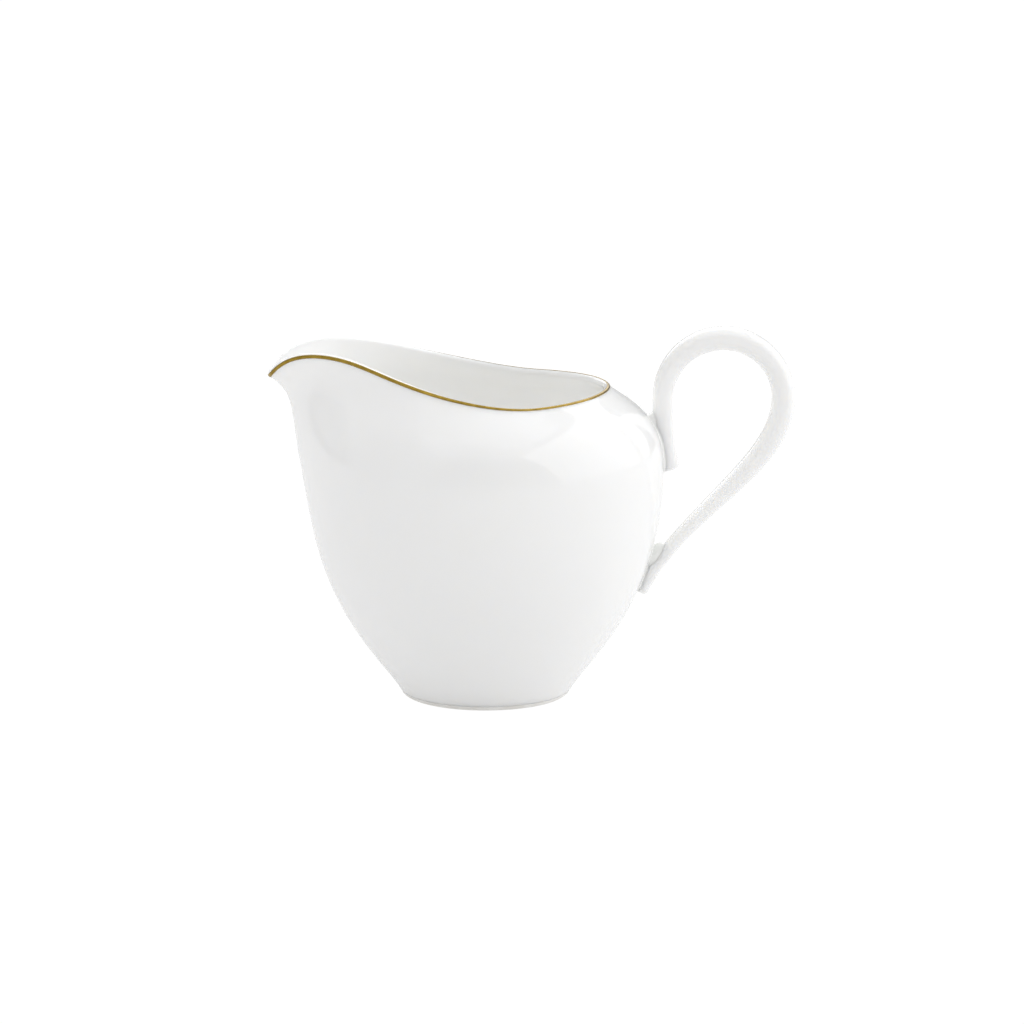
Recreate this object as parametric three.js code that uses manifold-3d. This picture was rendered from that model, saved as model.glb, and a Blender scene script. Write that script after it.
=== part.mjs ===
// Porcelain cream jug: a thin-walled body with a pulled spout and a waved rim, a loop handle
// stuck on with slip, a gold line fired round the lip and an unglazed ring to stand on.
// Millimetres, +Z up. The spout points to -X, the handle to +X, and y = 0 is the mirror plane.
// The body is described about its own axis and as a turned shape first: a side curve gives its
// radius at each height, and the front of it is then drawn out and up into the spout.
import * as THREE from "three";
import { mergeVertices } from "three/addons/utils/BufferGeometryUtils.js";
import Module from "manifold-3d";

const wasm = await Module();
wasm.setup();

// ---- Driving dimensions: millimetres and degrees ----

// Foot and base.
const FOOT_RADIUS = 19.4; // outer edge of the face that it stands on
const FOOT_WIDTH = 2.6; // radial width of that face
const FOOT_EDGE = 0.5; // rounding of its two edges
const RING_HEIGHT = 1.4; // height of the unglazed ring
const NECK_RADIUS = 21.3; // where the foot turns into the body
const NECK_HEIGHT = 3.1;
const RECESS_DEPTH = 2.4; // hollow under the base, inside the foot
const BASE_THICKNESS = 2.8;
const FLOOR_FILLET = 4; // rounding between the floor inside and the wall

// Side of the turned body. A lean is measured from the vertical, and a fullness is the length of a
// curve's handle as a share of the height that the curve climbs.
const BELLY_RADIUS = 41.9;
const BELLY_HEIGHT = 54.4;
const RIM_RADIUS = 29; // at the handle
const RIM_HEIGHT = 73.5; // at the handle
const NECK_LEAN = 34.5;
const NECK_FULLNESS = 0.14;
const UNDER_BELLY_FULLNESS = 0.59;
const OVER_BELLY_FULLNESS = 0.69;
const SHOULDER_LEAN = 48;
const SHOULDER_FULLNESS = 0.32;
const WALL = 2.4;
const RIM_WALL = 1.6;

// Spout and waved rim.
const SPOUT_REACH = 50.4; // from the axis to the outer edge at the tip
const SPOUT_ANGLE = 15.4; // how far round the tip its sides spread
const SPOUT_SHARPNESS = 1.53;
const FRONT_WIDENING = 4.3; // how much wider the whole front half is than the back
const CREST_RISE = 9.8; // the rim beside the tip, above the rim at the handle
const CREST_ANGLE = 115; // the rim starts to climb this far round from the tip
const SIDE_DIP = 1; // the rim half-way round, below the rim at the handle
const TIP_DROOP = 7.7; // the tip hangs this much lower than the crest
const TIP_ANGLE = 8.7;
const PULL_START = 31; // height where the front begins to leave the round
const THROAT_SHARE = 0.4; // share of the pull that the wide throat takes, the rest is the lip's curl
const THROAT_POWER = 3.2;
const CURL_POWER = 9.5;
const RISE_POWER = 9;

// Handle: a strand that starts on the shoulder, loops over and comes down to lie on the flank.
const LOOP_RADIUS = 14.1; // of its centre line
const LOOP_DROP = 2.9; // the loop's centre, below the rim
const STRAND_INSET = 0.45; // the inner strand's centre line, inside the belly's radius
const UPPER_END_DROP = 19.9; // the blunt end on the shoulder, below the rim
const UPPER_END_STAND = 1.5; // its centre line, outside the body
const UPPER_END_LEAN = 18;
const LOWER_END_HEIGHT = 24.2;
const LOWER_END_STAND = 0.9;
const LOWER_END_LEAN = 27;
const SLANT_HEIGHT = 46.3; // a point on the slanted run down to the flank
const SLANT_STAND = 12.3; // its distance outside the belly's radius
const SLANT_LEAN = 45;
const STRAND_THICKNESS = 4.6; // in the plane of the loop, at the upper end
const LOOP_THICKNESS = 5.5;
const TAIL_THICKNESS = 3.2; // at the lower end
const STRAND_EXTRA_WIDTH = 1.3; // how much wider than thick the strand is
const END_ROUNDING = 0.9;
const END_FACE = 0.6; // share of the strand's thickness that a rounded end still has
// Shares of the strand's length between which it thickens to the loop, and thins to the tail.
const SWELL_FROM = 0.05;
const SWELL_TO = 0.35;
const SHRINK_FROM = 0.55;
const SHRINK_TO = 0.92;
// Lengths of the centre line's curve handles, as shares of the height or distance they cover.
const STRAND_FULLNESS = 1 / 3;
const FALL_FULLNESS = 0.4;
const TAIL_FULLNESS = 1 / 3;

// Slip that joins the handle to the body, and the gold line.
const SLIP_FILM = 0.6; // thickness between the strand and the body
const UPPER_SLIP_LENGTH = 14;
const LOWER_SLIP_LENGTH = 13;
const SLIP_WIDTH = 9.4;
const SLIP_STAND = 2.1; // how far the fillet stands off the body beside the strand
const GOLD_WIDTH = 0.8;
const GOLD_OVERLAP = 0.55; // the part of that width above the rim's outer edge
const GOLD_THICKNESS = 0.35;
const GAP = 0.3; // between pieces that touch
const CUT_REACH = 1; // how far a cutting shape runs past the surface that it cuts

// How finely the curved pieces are divided.
const AROUND = 60;
const SPOUT_CROWDING = 0.5; // how much closer the divisions lie at the spout, from 0 to 1
const UP_THE_SIDE = 24;
const UP_THE_INSIDE = 16;
const ALONG_HANDLE = 56;
const ROUND_HANDLE = 16;
const CROWN_STEPS = 4;
const END_STEPS = 2;
const SLIP_AROUND = 24;
const SLIP_UP = 16;

const { clamp, degToRad, lerp } = THREE.MathUtils;
const FLOOR_HEIGHT = RECESS_DEPTH + BASE_THICKNESS;
const RECESS_RADIUS = FOOT_RADIUS - FOOT_WIDTH;

// ---- The body's outer skin ----

// The side curve from the neck over the belly to the rim, as points (radius, height).
function sideCurve() {
  const lower = BELLY_HEIGHT - NECK_HEIGHT;
  const upper = RIM_HEIGHT - BELLY_HEIGHT;
  const neck = degToRad(NECK_LEAN);
  const shoulder = degToRad(SHOULDER_LEAN);
  const side = new THREE.Path();
  side.moveTo(NECK_RADIUS, NECK_HEIGHT);
  side.bezierCurveTo(
    NECK_RADIUS + NECK_FULLNESS * lower * Math.sin(neck),
    NECK_HEIGHT + NECK_FULLNESS * lower * Math.cos(neck),
    BELLY_RADIUS,
    BELLY_HEIGHT - UNDER_BELLY_FULLNESS * lower,
    BELLY_RADIUS,
    BELLY_HEIGHT,
  );
  side.bezierCurveTo(
    BELLY_RADIUS,
    BELLY_HEIGHT + OVER_BELLY_FULLNESS * upper,
    RIM_RADIUS + SHOULDER_FULLNESS * upper * Math.sin(shoulder),
    RIM_HEIGHT - SHOULDER_FULLNESS * upper * Math.cos(shoulder),
    RIM_RADIUS,
    RIM_HEIGHT,
  );
  return side;
}

const side = sideCurve();

// A peak of height 1 over angle 0, which falls away within about the given width.
const peak = (angle, width) => 1 / Math.cosh(angle / degToRad(width));

// How far the rim is drawn out at an angle from the spout.
function lipOut(angle) {
  const front = (FRONT_WIDENING * (1 + Math.cos(angle))) / 2;
  const reach = SPOUT_REACH - RIM_RADIUS - FRONT_WIDENING;
  return front + reach * peak(angle, SPOUT_ANGLE) ** SPOUT_SHARPNESS;
}

// How far the rim is drawn up there.
function lipUp(angle) {
  const climb = THREE.MathUtils.smoothstep(1 - Math.abs(angle) / degToRad(CREST_ANGLE), 0, 1);
  const dip = (SIDE_DIP * (1 - Math.cos(2 * angle))) / 2;
  return CREST_RISE * climb - dip - TIP_DROOP * peak(angle, TIP_ANGLE) ** 2;
}

// A point at a radius, an angle from the spout and a height.
const around = (radius, angle, height) =>
  new THREE.Vector3(-radius * Math.cos(angle), radius * Math.sin(angle), height);

// The outer skin: share 0 is the neck and 1 the rim.
function outside(share, angle) {
  const { x: radius, y: height } = side.getPointAt(clamp(share, 0, 1));
  const climb = clamp((height - PULL_START) / (RIM_HEIGHT - PULL_START), 0, 1);
  const out = THROAT_SHARE * climb ** THROAT_POWER + (1 - THROAT_SHARE) * climb ** CURL_POWER;
  const up = climb ** RISE_POWER;
  return around(radius + out * lipOut(angle), angle, height + up * lipUp(angle));
}

// The skin's own directions at a point: up the wall, and straight out of it.
function directions(share, angle) {
  const step = 1e-3;
  const low = outside(share - step, angle);
  const high = outside(share + step, angle);
  const up = high.sub(low).normalize();
  const on = outside(share, angle + step).sub(outside(share, angle - step));
  return { up, out: up.clone().cross(on).normalize() };
}

// A point off the skin: out from it, and up along it.
function offSkin(share, angle, outBy, upBy = 0) {
  const { up, out } = directions(share, angle);
  return outside(share, angle).addScaledVector(out, outBy).addScaledVector(up, upBy);
}

const wallAt = (share) => lerp(WALL, RIM_WALL, share);

// The turned body's radius at a height, found by halving.
function radiusAt(height) {
  const halvings = 30;
  let low = 0;
  let high = 1;
  for (let i = 0; i < halvings; i++) {
    const middle = (low + high) / 2;
    if (side.getPointAt(middle).y < height) low = middle;
    else high = middle;
  }
  return side.getPointAt(low).x;
}

// The foot's outer radius at a height below the neck.
const footRadius = (height) => lerp(FOOT_RADIUS, NECK_RADIUS, height / NECK_HEIGHT);

// ---- Geometry helpers ----

// A skin closed round the axis. Each station says where its point is at an angle from the spout,
// and the stations run up the outside and down the inside. They are denser at the spout.
function turned(stations) {
  const outline = stations.map((_, i) => new THREE.Vector2(1, i));
  const geometry = new THREE.LatheGeometry(outline, AROUND);
  const position = geometry.getAttribute("position");
  for (let i = 0; i <= AROUND; i++) {
    const turn = Math.PI * (1 - (2 * (i % AROUND)) / AROUND);
    const angle = turn - SPOUT_CROWDING * Math.sin(turn);
    stations.forEach((station, j) => {
      const { x, y, z } = station(angle);
      position.setXYZ(i * stations.length + j, x, y, z);
    });
  }
  return geometry;
}

const ring = (radius, height) => (angle) => around(radius, angle, height);

// Evenly spaced values from one end to the other, both included.
const spaced = (from, to, steps) =>
  Array.from({ length: steps + 1 }, (_, i) => lerp(from, to, i / steps));

// A closed geometry as a solid for cutting and joining, and back.
function solidOf(geometry) {
  const bare = new THREE.BufferGeometry();
  bare.setAttribute("position", geometry.getAttribute("position"));
  bare.setIndex(geometry.getIndex());
  const merged = mergeVertices(bare, 1e-4);
  return new wasm.Manifold(
    new wasm.Mesh({
      numProp: 3,
      vertProperties: merged.getAttribute("position").array,
      triVerts: new Uint32Array(merged.getIndex().array),
    }),
  );
}

function geometryOf(solid) {
  const { vertProperties, triVerts } = solid.getMesh();
  const geometry = new THREE.BufferGeometry();
  geometry.setAttribute("position", new THREE.BufferAttribute(vertProperties, 3));
  geometry.setIndex(new THREE.BufferAttribute(triVerts, 1));
  geometry.computeVertexNormals();
  return geometry;
}

// ---- Pieces ----

// The groove that the gold line sits in, and the line itself, run along the rim's outer edge.
function rimStrip(depth, stand, below, above) {
  return turned([
    (angle) => offSkin(1, angle, -depth, -below),
    (angle) => offSkin(1, angle, stand, -below),
    (angle) => offSkin(1, angle, stand, above),
    (angle) => offSkin(1, angle, -depth, above),
    (angle) => offSkin(1, angle, -depth, -below),
  ]);
}

function goldLine() {
  return rimStrip(GOLD_THICKNESS, 0, GOLD_WIDTH - GOLD_OVERLAP, GOLD_OVERLAP);
}

// The body: base, foot wall, outer skin, half-round rim, inner skin and floor.
function body() {
  const footBase = RING_HEIGHT + GAP;
  const skin = spaced(0, 1, UP_THE_SIDE);
  const crown = spaced(0, Math.PI, CROWN_STEPS).slice(1, -1);
  const floorShare = skin.find((v) => offSkin(v, Math.PI, -wallAt(v)).z > FLOOR_HEIGHT + FLOOR_FILLET);
  const foot = offSkin(floorShare, Math.PI, -wallAt(floorShare));
  const bend = new THREE.QuadraticBezierCurve(
    new THREE.Vector2(foot.x, foot.z),
    new THREE.Vector2(foot.x - FLOOR_FILLET, FLOOR_HEIGHT),
    new THREE.Vector2(foot.x - 3 * FLOOR_FILLET, FLOOR_HEIGHT),
  );
  const stations = [
    ring(0, RECESS_DEPTH),
    ring(RECESS_RADIUS, RECESS_DEPTH),
    ring(RECESS_RADIUS, footBase),
    ring(footRadius(footBase), footBase),
    ...skin.map((v) => (angle) => outside(v, angle)),
    ...crown.map((turn) => (angle) => {
      const half = RIM_WALL / 2;
      return offSkin(1, angle, half * (Math.cos(turn) - 1), half * Math.sin(turn));
    }),
    ...spaced(1, floorShare, UP_THE_INSIDE).map((v) => (angle) => offSkin(v, angle, -wallAt(v))),
    ...bend.getPoints(CROWN_STEPS).slice(1).map((p) => ring(p.x, p.y)),
    ring(0, FLOOR_HEIGHT),
  ];
  const below = GOLD_WIDTH - GOLD_OVERLAP + GAP;
  const groove = rimStrip(GOLD_THICKNESS + GAP, CUT_REACH, below, RIM_WALL);
  return geometryOf(solidOf(turned(stations)).subtract(solidOf(groove)));
}

// The unglazed ring under the foot, with its two lower edges rounded.
function footRing() {
  const low = FOOT_EDGE * (1 - Math.SQRT1_2);
  return turned([
    ring(RECESS_RADIUS, RING_HEIGHT),
    ring(RECESS_RADIUS, FOOT_EDGE),
    ring(RECESS_RADIUS + low, low),
    ring(RECESS_RADIUS + FOOT_EDGE, 0),
    ring(FOOT_RADIUS - FOOT_EDGE, 0),
    ring(FOOT_RADIUS - low, low),
    ring(footRadius(FOOT_EDGE), FOOT_EDGE),
    ring(footRadius(RING_HEIGHT), RING_HEIGHT),
    ring(RECESS_RADIUS, RING_HEIGHT),
  ]);
}

// The whole body filled and grown by a clearance, for cutting what lies against it.
function bodyGrown(clearance) {
  return solidOf(
    turned([
      ring(0, -clearance),
      ring(FOOT_RADIUS + clearance, -clearance),
      ...spaced(0, 1, UP_THE_SIDE).map((v) => (angle) => offSkin(v, angle, clearance)),
      ring(0, RIM_HEIGHT),
    ]),
  );
}

// The handle's centre line in its own plane, from the end on the shoulder to the end on the flank.
function handleLine() {
  const upper = RIM_HEIGHT - UPPER_END_DROP;
  const loop = new THREE.Vector2(BELLY_RADIUS - STRAND_INSET + LOOP_RADIUS, RIM_HEIGHT - LOOP_DROP);
  const slant = new THREE.Vector2(BELLY_RADIUS + SLANT_STAND, SLANT_HEIGHT);
  const start = new THREE.Vector2(radiusAt(upper) + UPPER_END_STAND, upper);
  const end = new THREE.Vector2(radiusAt(LOWER_END_HEIGHT) + LOWER_END_STAND, LOWER_END_HEIGHT);
  const toward = (point, lean, distance) => {
    const angle = degToRad(lean);
    return [point.x + distance * Math.sin(angle), point.y + distance * Math.cos(angle)];
  };
  const strand = STRAND_FULLNESS * (loop.y - start.y);
  const fall = FALL_FULLNESS * (loop.y - slant.y);
  const tail = TAIL_FULLNESS * start.distanceTo(end);
  const line = new THREE.Path();
  line.moveTo(start.x, start.y);
  line.bezierCurveTo(
    ...toward(start, -UPPER_END_LEAN, strand),
    loop.x - LOOP_RADIUS,
    loop.y - strand,
    loop.x - LOOP_RADIUS,
    loop.y,
  );
  line.absarc(loop.x, loop.y, LOOP_RADIUS, Math.PI, 0, true);
  line.bezierCurveTo(
    loop.x + LOOP_RADIUS,
    loop.y - fall,
    ...toward(slant, SLANT_LEAN, fall),
    slant.x,
    slant.y,
  );
  line.bezierCurveTo(
    ...toward(slant, SLANT_LEAN + 180, tail),
    ...toward(end, LOWER_END_LEAN, tail),
    end.x,
    end.y,
  );
  return line;
}

const line = handleLine();

// The strand's thickness at a share of its length.
function thicknessAt(share) {
  const swell = THREE.MathUtils.smoothstep(share, SWELL_FROM, SWELL_TO);
  const shrink = THREE.MathUtils.smoothstep(share, SHRINK_FROM, SHRINK_TO);
  return lerp(lerp(STRAND_THICKNESS, LOOP_THICKNESS, swell), TAIL_THICKNESS, shrink);
}

// The strand grown by a clearance: a turned stick with rounded ends, bent along the centre line.
function strand(clearance) {
  const length = line.getLength();
  const bevel = spaced(0, Math.PI / 2, END_STEPS).map((turn) => [
    lerp(END_FACE, 1, Math.sin(turn)),
    END_ROUNDING * (1 - Math.cos(turn)),
  ]);
  const outline = [
    [0, 0],
    ...bevel,
    ...spaced(END_ROUNDING, length - END_ROUNDING, ALONG_HANDLE).slice(1, -1).map((y) => [1, y]),
    ...bevel.map(([x, y]) => [x, length - y]).reverse(),
    [0, length],
  ].map(([x, y]) => new THREE.Vector2(x, y));
  const stick = new THREE.LatheGeometry(outline, ROUND_HANDLE);
  const position = stick.getAttribute("position");
  for (let i = 0; i < position.count; i++) {
    const share = clamp(position.getY(i) / length, 0, 1);
    const end = share === 0 ? -clearance : share === 1 ? clearance : 0;
    const half = thicknessAt(share) / 2 + clearance;
    const across = position.getX(i) * (half + STRAND_EXTRA_WIDTH / 2);
    const outward = position.getZ(i) * half;
    const at = line.getPointAt(share);
    const along = line.getTangentAt(share);
    position.setXYZ(
      i,
      at.x + outward * along.y + end * along.x,
      across,
      at.y - outward * along.x + end * along.y,
    );
  }
  return solidOf(stick);
}

const SEAT = SLIP_FILM + 2 * GAP; // the strand's distance from the body

const handle = () => geometryOf(strand(0).subtract(bodyGrown(SEAT)));

// A lens of slip on the body's skin, round the strand and under it, up from a blunt end.
function slip(endHeight, length) {
  const middle = endHeight + length / 2;
  const rise = new THREE.Vector2(radiusAt(middle + 1) - radiusAt(middle - 1), 2);
  const lens = new THREE.SphereGeometry(1, SLIP_AROUND, SLIP_UP);
  lens.rotateX(Math.PI / 2);
  lens.scale(SLIP_STAND, SLIP_WIDTH / 2, length / 2);
  lens.rotateY(Math.atan2(rise.x, rise.y));
  lens.translate(radiusAt(middle), 0, middle);
  const room = strand(GAP).subtract(bodyGrown(SEAT - GAP));
  return geometryOf(solidOf(lens).subtract(bodyGrown(GAP)).subtract(room));
}

// ---- Assembly ----

const glaze = { color: 0xf7f7f5, roughness: 0.12, metalness: 0 };
const fired = { color: 0xe9e6df, roughness: 0.7, metalness: 0 };
const gilt = { color: 0xc8962e, roughness: 0.25, metalness: 1 };

function piece(name, geometry, finish) {
  const mesh = new THREE.Mesh(geometry, new THREE.MeshStandardMaterial(finish));
  mesh.name = name;
  return mesh;
}

const jug = new THREE.Group();
jug.add(
  piece("jug_body", body(), glaze),
  piece("foot_ring", footRing(), fired),
  piece("handle", handle(), glaze),
  piece("upper_handle_slip", slip(RIM_HEIGHT - UPPER_END_DROP, UPPER_SLIP_LENGTH), glaze),
  piece("lower_handle_slip", slip(LOWER_END_HEIGHT, LOWER_SLIP_LENGTH), glaze),
  piece("gold_rim_line", goldLine(), gilt),
);

// The part's origin is under the middle of its overall length, on the standing face.
const extent = new THREE.Box3().setFromObject(jug);
jug.position.x = -(extent.min.x + extent.max.x) / 2;
const part = new THREE.Group();
part.add(jug);

export default part;
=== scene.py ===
"""A white porcelain cream jug with a gold line on its lip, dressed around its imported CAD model.

Every size is in millimetres until a mesh is made, and the jug's own axis is the foot ring's.
Angles round the jug are counted from the spout.
"""

import logging
import math
from collections.abc import Callable, Iterable
from dataclasses import dataclass, field
from enum import Enum

import bpy
import numpy as np
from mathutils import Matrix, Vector


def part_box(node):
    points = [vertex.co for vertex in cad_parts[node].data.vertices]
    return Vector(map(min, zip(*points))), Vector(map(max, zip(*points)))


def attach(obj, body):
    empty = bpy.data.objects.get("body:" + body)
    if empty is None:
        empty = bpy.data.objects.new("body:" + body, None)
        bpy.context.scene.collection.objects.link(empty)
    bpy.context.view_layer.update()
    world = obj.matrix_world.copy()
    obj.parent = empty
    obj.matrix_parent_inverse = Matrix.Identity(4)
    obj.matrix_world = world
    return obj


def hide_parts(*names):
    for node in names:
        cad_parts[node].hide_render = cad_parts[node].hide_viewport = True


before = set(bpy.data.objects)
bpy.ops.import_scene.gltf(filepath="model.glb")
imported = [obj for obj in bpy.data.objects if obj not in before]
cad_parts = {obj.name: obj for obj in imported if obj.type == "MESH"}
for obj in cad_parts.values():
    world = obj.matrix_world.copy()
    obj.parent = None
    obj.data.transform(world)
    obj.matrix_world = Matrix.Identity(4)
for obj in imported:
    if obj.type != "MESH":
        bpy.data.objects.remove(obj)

LOG = logging.getLogger("cream_jug")
MM = 0.001
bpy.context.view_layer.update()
Array = np.ndarray
Station = Callable[[Array], Array]
AT_HANDLE = np.array([math.pi])
BLEND_RANGE = (0.35, 0.65)


def span(first: float, last: float, steps: int) -> Array:
    """Evenly spaced values from one end to the other, both included."""
    return np.linspace(first, last, steps + 1)


def smoothstep(value: Array | float) -> Array:
    """Eases from 0 to 1, flat at both ends."""
    held = np.clip(value, 0.0, 1.0)
    return held * held * (3 - 2 * held)


def cubic(start: Array, pull: Array, draw: Array, end: Array, steps: int) -> Array:
    """Points along a cubic curve.

    Args:
        start: where it begins.
        pull: the handle at its start.
        draw: the handle at its end.
        end: where it ends.
        steps: how many stretches it is divided in.

    Returns:
        One row for each point.
    """
    t = span(0, 1, steps)[:, None]
    weights = ((1 - t) ** 3, 3 * t * (1 - t) ** 2, 3 * t * t * (1 - t), t**3)
    return sum(w * np.asarray(p, float) for w, p in zip(weights, (start, pull, draw, end)))


def toward(point: Array, lean: float, distance: float) -> Array:
    """The point at a distance from another one, in a direction that leans from the vertical.

    Args:
        point: where it starts, as (across, up).
        lean: degrees from the vertical.
        distance: how far it goes.

    Returns:
        The point that it comes to.
    """
    angle = math.radians(lean)
    return point + distance * np.array([math.sin(angle), math.cos(angle)])


class EvenCurve:
    """A planar curve that is read by the share of its length."""

    def __init__(self, *stretches: Array) -> None:
        """Joins stretches of points that follow on from each other.

        Args:
            stretches: rows of points, each stretch starting where the last one ended.
        """
        points = np.vstack([stretches[0], *[s[1:] for s in stretches[1:]]])
        run = np.hypot(*np.diff(points, axis=0).T)
        travelled = np.concatenate([[0.0], np.cumsum(run)])
        self.length = float(travelled[-1])
        self.shares = travelled / self.length
        self.points = points

    def at(self, share: Array | float) -> tuple[Array, Array]:
        """Both coordinates at a share of the length, held at the ends."""
        held = np.clip(share, 0.0, 1.0)
        return (
            np.interp(held, self.shares, self.points[:, 0]),
            np.interp(held, self.shares, self.points[:, 1]),
        )


# ---- The jug's form ----


@dataclass(frozen=True)
class JugForm:
    """The outer skin: a turned side curve whose front is drawn out and up into the spout.

    A lean is in degrees from the vertical, and a fullness is the length of a curve's handle as a
    share of the height that the curve climbs.
    """

    axis_x: float
    foot_radius: float = 19.4
    foot_width: float = 2.6
    foot_edge: float = 0.5
    ring_height: float = 1.4
    neck_radius: float = 21.3
    neck_height: float = 3.1
    recess_depth: float = 2.4
    base_thickness: float = 2.8
    floor_fillet: float = 4.0
    belly_radius: float = 41.9
    belly_height: float = 54.4
    rim_radius: float = 29.0
    rim_height: float = 73.5
    neck_lean: float = 34.5
    neck_fullness: float = 0.14
    under_belly_fullness: float = 0.59
    over_belly_fullness: float = 0.69
    shoulder_lean: float = 48.0
    shoulder_fullness: float = 0.32
    wall: float = 2.4
    rim_wall: float = 1.6
    spout_reach: float = 50.4
    spout_angle: float = 15.4
    spout_sharpness: float = 1.53
    front_widening: float = 4.3
    crest_rise: float = 9.8
    crest_angle: float = 115.0
    side_dip: float = 1.0
    tip_droop: float = 7.7
    tip_angle: float = 8.7
    pull_start: float = 31.0
    throat_share: float = 0.4
    throat_power: float = 3.2
    curl_power: float = 9.5
    rise_power: float = 9.0
    searched_share: float = 0.95
    search_steps: int = 60
    curve_steps: int = 3000
    side: EvenCurve = field(init=False)

    def __post_init__(self) -> None:
        """Draws the side curve from the neck over the belly to the rim."""
        lower = self.belly_height - self.neck_height
        upper = self.rim_height - self.belly_height
        neck = math.radians(self.neck_lean)
        shoulder = math.radians(self.shoulder_lean)
        low_arm = self.neck_fullness * lower
        high_arm = self.shoulder_fullness * upper
        flank = cubic(
            (self.neck_radius, self.neck_height),
            (
                self.neck_radius + low_arm * math.sin(neck),
                self.neck_height + low_arm * math.cos(neck),
            ),
            (self.belly_radius, self.belly_height - self.under_belly_fullness * lower),
            (self.belly_radius, self.belly_height),
            self.curve_steps,
        )
        shoulder_curve = cubic(
            (self.belly_radius, self.belly_height),
            (self.belly_radius, self.belly_height + self.over_belly_fullness * upper),
            (
                self.rim_radius + high_arm * math.sin(shoulder),
                self.rim_height - high_arm * math.cos(shoulder),
            ),
            (self.rim_radius, self.rim_height),
            self.curve_steps,
        )
        object.__setattr__(self, "side", EvenCurve(flank, shoulder_curve))

    def lip_out(self, angle: Array) -> Array:
        """How far the rim is drawn out.

        Args:
            angle: from the spout.

        Returns:
            One distance for each angle.
        """
        front = self.front_widening * (1 + np.cos(angle)) / 2
        reach = self.spout_reach - self.rim_radius - self.front_widening
        peak = 1 / np.cosh(angle / math.radians(self.spout_angle))
        return front + reach * peak**self.spout_sharpness

    def lip_up(self, angle: Array) -> Array:
        """How far the rim is drawn up.

        Args:
            angle: from the spout.

        Returns:
            One height for each angle.
        """
        climb = smoothstep(1 - np.abs(angle) / math.radians(self.crest_angle))
        dip = self.side_dip * (1 - np.cos(2 * angle)) / 2
        droop = self.tip_droop / np.cosh(angle / math.radians(self.tip_angle)) ** 2
        return self.crest_rise * climb - dip - droop

    def around(self, radius: Array | float, angle: Array, height: Array | float) -> Array:
        """A point at a radius, an angle from the spout and a height."""
        flat = np.zeros_like(angle)
        return np.stack(
            [self.axis_x - radius * np.cos(angle), radius * np.sin(angle), flat + height], axis=-1
        )

    def outside(self, share: Array | float, angle: Array) -> Array:
        """The outer skin.

        Args:
            share: the height on the side curve, where 0 is the neck and 1 the rim.
            angle: from the spout.

        Returns:
            The points, one row for each angle.
        """
        radius, height = self.side.at(share)
        climb = np.clip((height - self.pull_start) / (self.rim_height - self.pull_start), 0, 1)
        curl = (1 - self.throat_share) * climb**self.curl_power
        out = self.throat_share * climb**self.throat_power + curl
        up = climb**self.rise_power
        drawn_out = radius + out * self.lip_out(angle)
        return self.around(drawn_out, angle, height + up * self.lip_up(angle))

    def off_skin(
        self, share: Array | float, angle: Array, out_by: float, up_by: float = 0.0
    ) -> Array:
        """A point off the skin.

        Args:
            share: the height on the side curve, one for all angles or one for each.
            angle: from the spout.
            out_by: distance straight out of the skin.
            up_by: distance up along the skin.

        Returns:
            The points, one row for each angle.
        """
        step = 1e-3
        above, below = np.minimum(share + step, 1.0), np.maximum(share - step, 0.0)
        up = self.outside(above, angle) - self.outside(below, angle)
        up /= np.linalg.norm(up, axis=-1, keepdims=True)
        on = self.outside(share, angle + step) - self.outside(share, angle - step)
        out = np.cross(up, on)
        out /= np.linalg.norm(out, axis=-1, keepdims=True)
        return self.outside(share, angle) + out_by * out + up_by * up

    def wall_at(self, share: float) -> float:
        """The wall's thickness, which thins towards the rim."""
        return self.wall + (self.rim_wall - self.wall) * share

    def ring(self, radius: float, height: float) -> Station:
        """A station that is a plain circle round the axis."""
        return lambda angle: self.around(radius, angle, height)

    def skin(self, share: float, out_by: float = 0.0, up_by: float = 0.0) -> Station:
        """A station that follows the skin at a distance from it."""
        return lambda angle: self.off_skin(share, angle, out_by, up_by)

    def share_below_rim(self, distance: float, angle: Array) -> Array:
        """Finds the height on the side curve that lies an even distance below the rim.

        Args:
            distance: measured down the skin from the rim.
            angle: from the spout.

        Returns:
            One share of the side curve for each angle.
        """
        shares = span(1, self.searched_share, self.search_steps)
        path = np.stack([self.outside(share, angle) for share in shares])
        run = np.linalg.norm(np.diff(path, axis=0), axis=-1)
        travelled = np.vstack([np.zeros(len(angle)), np.cumsum(run, axis=0)])
        return np.array([np.interp(distance, column, shares) for column in travelled.T])

    def under_rim(self, distance: float, out_by: float = 0.0) -> Station:
        """A station at an even distance below the rim, and at a distance from the skin."""
        return lambda angle: self.off_skin(self.share_below_rim(distance, angle), angle, out_by)

    def crown(self, turn: float, proud: float = 0.0) -> Station:
        """A station on the half-round of the rim, where turn 0 is its outer edge.

        Args:
            turn: radians over the top, pi at the inner edge.
            proud: distance outside the half-round.

        Returns:
            The station.
        """
        half = self.rim_wall / 2
        reach = half + proud
        return self.skin(1.0, reach * math.cos(turn) - half, reach * math.sin(turn))

    def foot_radius_at(self, height: float) -> float:
        """The foot's outer radius below the neck."""
        return self.foot_radius + (self.neck_radius - self.foot_radius) * height / self.neck_height

    def radius_at(self, height: float) -> float:
        """The turned body's radius at a height."""
        return float(np.interp(height, self.side.points[:, 1], self.side.points[:, 0]))


# ---- Modelling by operators ----


def begin_piece() -> None:
    """Leaves nothing selected, so that an operator acts on the new piece alone."""
    bpy.ops.object.select_all(action="DESELECT")


def only(piece: bpy.types.Object) -> None:
    """Selects one object and makes it the active one.

    Args:
        piece: the object.
    """
    begin_piece()
    piece.select_set(True)
    bpy.context.view_layer.objects.active = piece


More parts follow.
